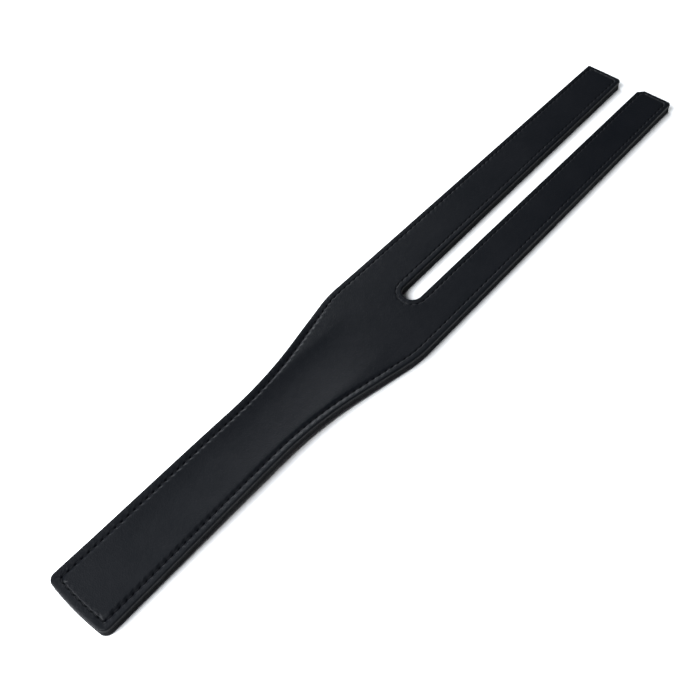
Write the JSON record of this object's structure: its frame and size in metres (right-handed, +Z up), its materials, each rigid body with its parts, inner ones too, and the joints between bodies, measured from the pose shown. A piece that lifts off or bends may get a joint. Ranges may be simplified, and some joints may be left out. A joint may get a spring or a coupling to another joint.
{
  "type": "two-tailed leather strap",
  "caption": "Flat forked leather strap: straight handle flaring to a wider blade that divides into long narrow tails, layered plies stitched round the edge.",
  "frame": {"origin": "centre of the footprint, on the surface the strap lies on", "axes": "+Y along the strap from the butt of the handle to the tips of the tails, +X towards the right tail, +Z up out of the wear face"},
  "size_m": [0.06, 0.42, 0.0065],
  "materials": {
    "cover_leather": "smooth black grain, semi-matt",
    "core_leather": "black dyed and burnished edge",
    "thread": "black bonded sewing thread"
  },
  "bodies": {
    "handle": {"handle_top_cover": "cover_leather", "handle_upper_core": "core_leather", "handle_lower_core": "core_leather", "handle_bottom_cover": "cover_leather", "handle_top_edge_thread": "thread", "handle_top_slot_thread": "thread", "handle_bottom_edge_thread": "thread", "handle_bottom_slot_thread": "thread"},
    "left_tail": {"left_tail_top_cover": "cover_leather", "left_tail_upper_core": "core_leather", "left_tail_lower_core": "core_leather", "left_tail_bottom_cover": "cover_leather", "left_tail_top_edge_thread": "thread", "left_tail_bottom_edge_thread": "thread"},
    "right_tail": {"right_tail_top_cover": "cover_leather", "right_tail_upper_core": "core_leather", "right_tail_lower_core": "core_leather", "right_tail_bottom_cover": "cover_leather", "right_tail_top_edge_thread": "thread", "right_tail_bottom_edge_thread": "thread"}
  },
  "joints": [
    {"name": "left_tail_flex", "type": "hinge", "parent": "handle", "child": "left_tail", "pos_m": [-0.01679, 0.036, 0.00325], "axis": [1, 0, 0], "range_deg": [-25, 25], "stiffness_Nm_per_rad": 0.18},
    {"name": "right_tail_flex", "type": "hinge", "parent": "handle", "child": "right_tail", "pos_m": [0.01812, 0.036, 0.00325], "axis": [1, 0, 0], "range_deg": [-25, 25], "stiffness_Nm_per_rad": 0.18}
  ]
}
